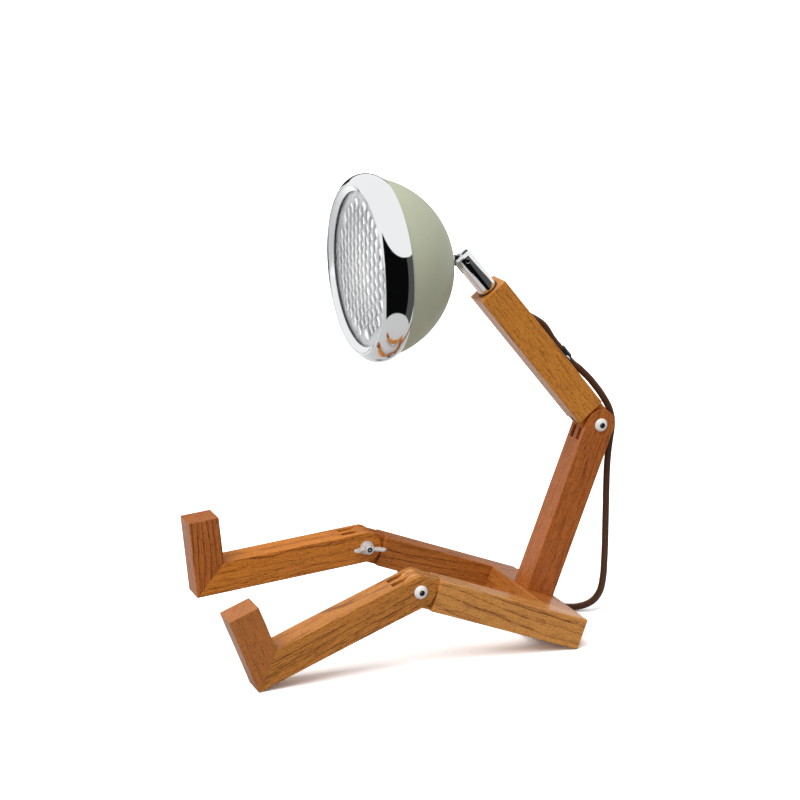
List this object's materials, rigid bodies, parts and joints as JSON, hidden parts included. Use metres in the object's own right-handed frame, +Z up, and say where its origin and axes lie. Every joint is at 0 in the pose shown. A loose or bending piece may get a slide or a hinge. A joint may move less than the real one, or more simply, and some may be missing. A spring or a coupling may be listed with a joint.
{
  "type": "desk lamp",
  "caption": "Desk lamp of square wooden bars shaped as a seated figure, with finger jointed knees and elbow clamped by wing nuts, and a round spot head on a slotted knuckle.",
  "frame": {"origin": "on the floor, under the middle of the lamp's length and midway between its thighs; the free cord is left out", "axes": "+Z up, -X the way the figure faces, +Y towards its own right side"},
  "size_m": [0.3076, 0.2746, 0.3303],
  "materials": {
    "bar_wood": "clear satin lacquer over an orange brown hardwood",
    "leg_wood": "the same wood and lacquer, a darker stick",
    "dowel_wood": "unfinished beech",
    "fastener_nickel": "bright nickel plate",
    "bright_chrome": "polished chrome plate",
    "brass": "plain brass",
    "dark_washer": "matt black plastic",
    "gasket": "black rubber",
    "shell_paint": "satin sage green powder coat",
    "lens_glass": "clear pressed glass with a dimpled face",
    "reflector": "bright metallised white",
    "board": "white solder mask",
    "sink_metal": "plain cast aluminium",
    "potting": "black potting resin",
    "cord_sheath": "matt brown sheath",
    "clip_black": "satin black",
    "housing_black": "black moulded plastic",
    "rocker_grey": "dark grey moulded plastic",
    "tie_black": "black nylon"
  },
  "bodies": {
    "base": {"left_thigh": "bar_wood", "right_thigh": "bar_wood", "hip_rail": "bar_wood", "hip_dowels": "dowel_wood", "torso_post": "bar_wood", "torso_dowels": "dowel_wood", "torso_screw": "brass", "elbow_bolt": "fastener_nickel", "elbow_washer": "fastener_nickel", "cord_drop": "cord_sheath", "switch_base": "housing_black", "switch_cover": "housing_black", "switch_screws": "fastener_nickel", "cord_run": "cord_sheath", "cord_coil": "cord_sheath", "coil_ties": "tie_black", "cord_tail": "cord_sheath", "plug_body": "housing_black", "plug_pins": "fastener_nickel"},
    "arm": {"upper_arm": "bar_wood", "neck_insert": "brass", "neck_washer": "dark_washer", "cord_clip": "clip_black", "clip_screw": "fastener_nickel", "cord_arm": "cord_sheath", "inner_lead": "cord_sheath"},
    "neck": {"knuckle_barrel": "bright_chrome", "knuckle_pin": "bright_chrome"},
    "head": {"head_tongue": "bright_chrome", "seat_washer": "dark_washer", "tongue_nut": "fastener_nickel", "lamp_shell": "shell_paint", "bezel": "bright_chrome", "lens": "lens_glass", "lens_gasket": "gasket", "reflector": "reflector", "led_board": "board", "heat_sink": "sink_metal", "sink_screws": "fastener_nickel", "led_driver": "potting"},
    "left_lower_leg": {"left_shin": "leg_wood", "left_foot": "leg_wood", "left_foot_dowels": "dowel_wood", "left_knee_bolt": "fastener_nickel", "left_knee_washer": "fastener_nickel"},
    "right_lower_leg": {"right_shin": "leg_wood", "right_foot": "leg_wood", "right_foot_dowels": "dowel_wood", "right_knee_bolt": "fastener_nickel", "right_knee_washer": "fastener_nickel"},
    "elbow_nut": {"elbow_wing_nut": "fastener_nickel"},
    "left_nut": {"left_wing_nut": "fastener_nickel"},
    "right_nut": {"right_wing_nut": "fastener_nickel"},
    "rocker": {"switch_rocker": "rocker_grey"}
  },
  "joints": [
    {"name": "elbow", "type": "hinge", "parent": "base", "child": "arm", "pos_m": [0.14024, 0, 0.14455], "axis": [0, 1, 0], "range_deg": [-33, 154], "deforming": ["cord_drop"]},
    {"name": "neck_swivel", "type": "hinge", "parent": "arm", "child": "neck", "pos_m": [0.05708, 0, 0.24616], "axis": [-0.6334, 0, 0.7738], "range_deg": [-150, 150]},
    {"name": "head_tilt", "type": "hinge", "parent": "neck", "child": "head", "pos_m": [0.03921, 0, 0.26798], "axis": [0, 1, 0], "range_deg": [-38, 141]},
    {"name": "left_knee", "type": "hinge", "parent": "base", "child": "left_lower_leg", "pos_m": [-0.01692, -0.053, 0.05609], "axis": [0, 1, 0], "range_deg": [-52, 135]},
    {"name": "right_knee", "type": "hinge", "parent": "base", "child": "right_lower_leg", "pos_m": [-0.01692, 0.053, 0.05609], "axis": [0, 1, 0], "range_deg": [-67, 120]},
    {"name": "elbow_nut_turn", "type": "hinge", "parent": "base", "child": "elbow_nut", "pos_m": [0.14024, 0, 0.14455], "axis": [0, 1, 0], "range_deg": [0, 120]},
    {"name": "left_nut_turn", "type": "hinge", "parent": "left_lower_leg", "child": "left_nut", "pos_m": [-0.01692, -0.053, 0.05609], "axis": [0, 1, 0], "range_deg": [0, 120]},
    {"name": "right_nut_turn", "type": "hinge", "parent": "right_lower_leg", "child": "right_nut", "pos_m": [-0.01692, 0.053, 0.05609], "axis": [0, 1, 0], "range_deg": [0, 120]},
    {"name": "switch_rock", "type": "hinge", "parent": "base", "child": "rocker", "pos_m": [0.1135, 0.059, 0.0098], "axis": [1, 0, 0], "range_deg": [0, 14]}
  ]
}
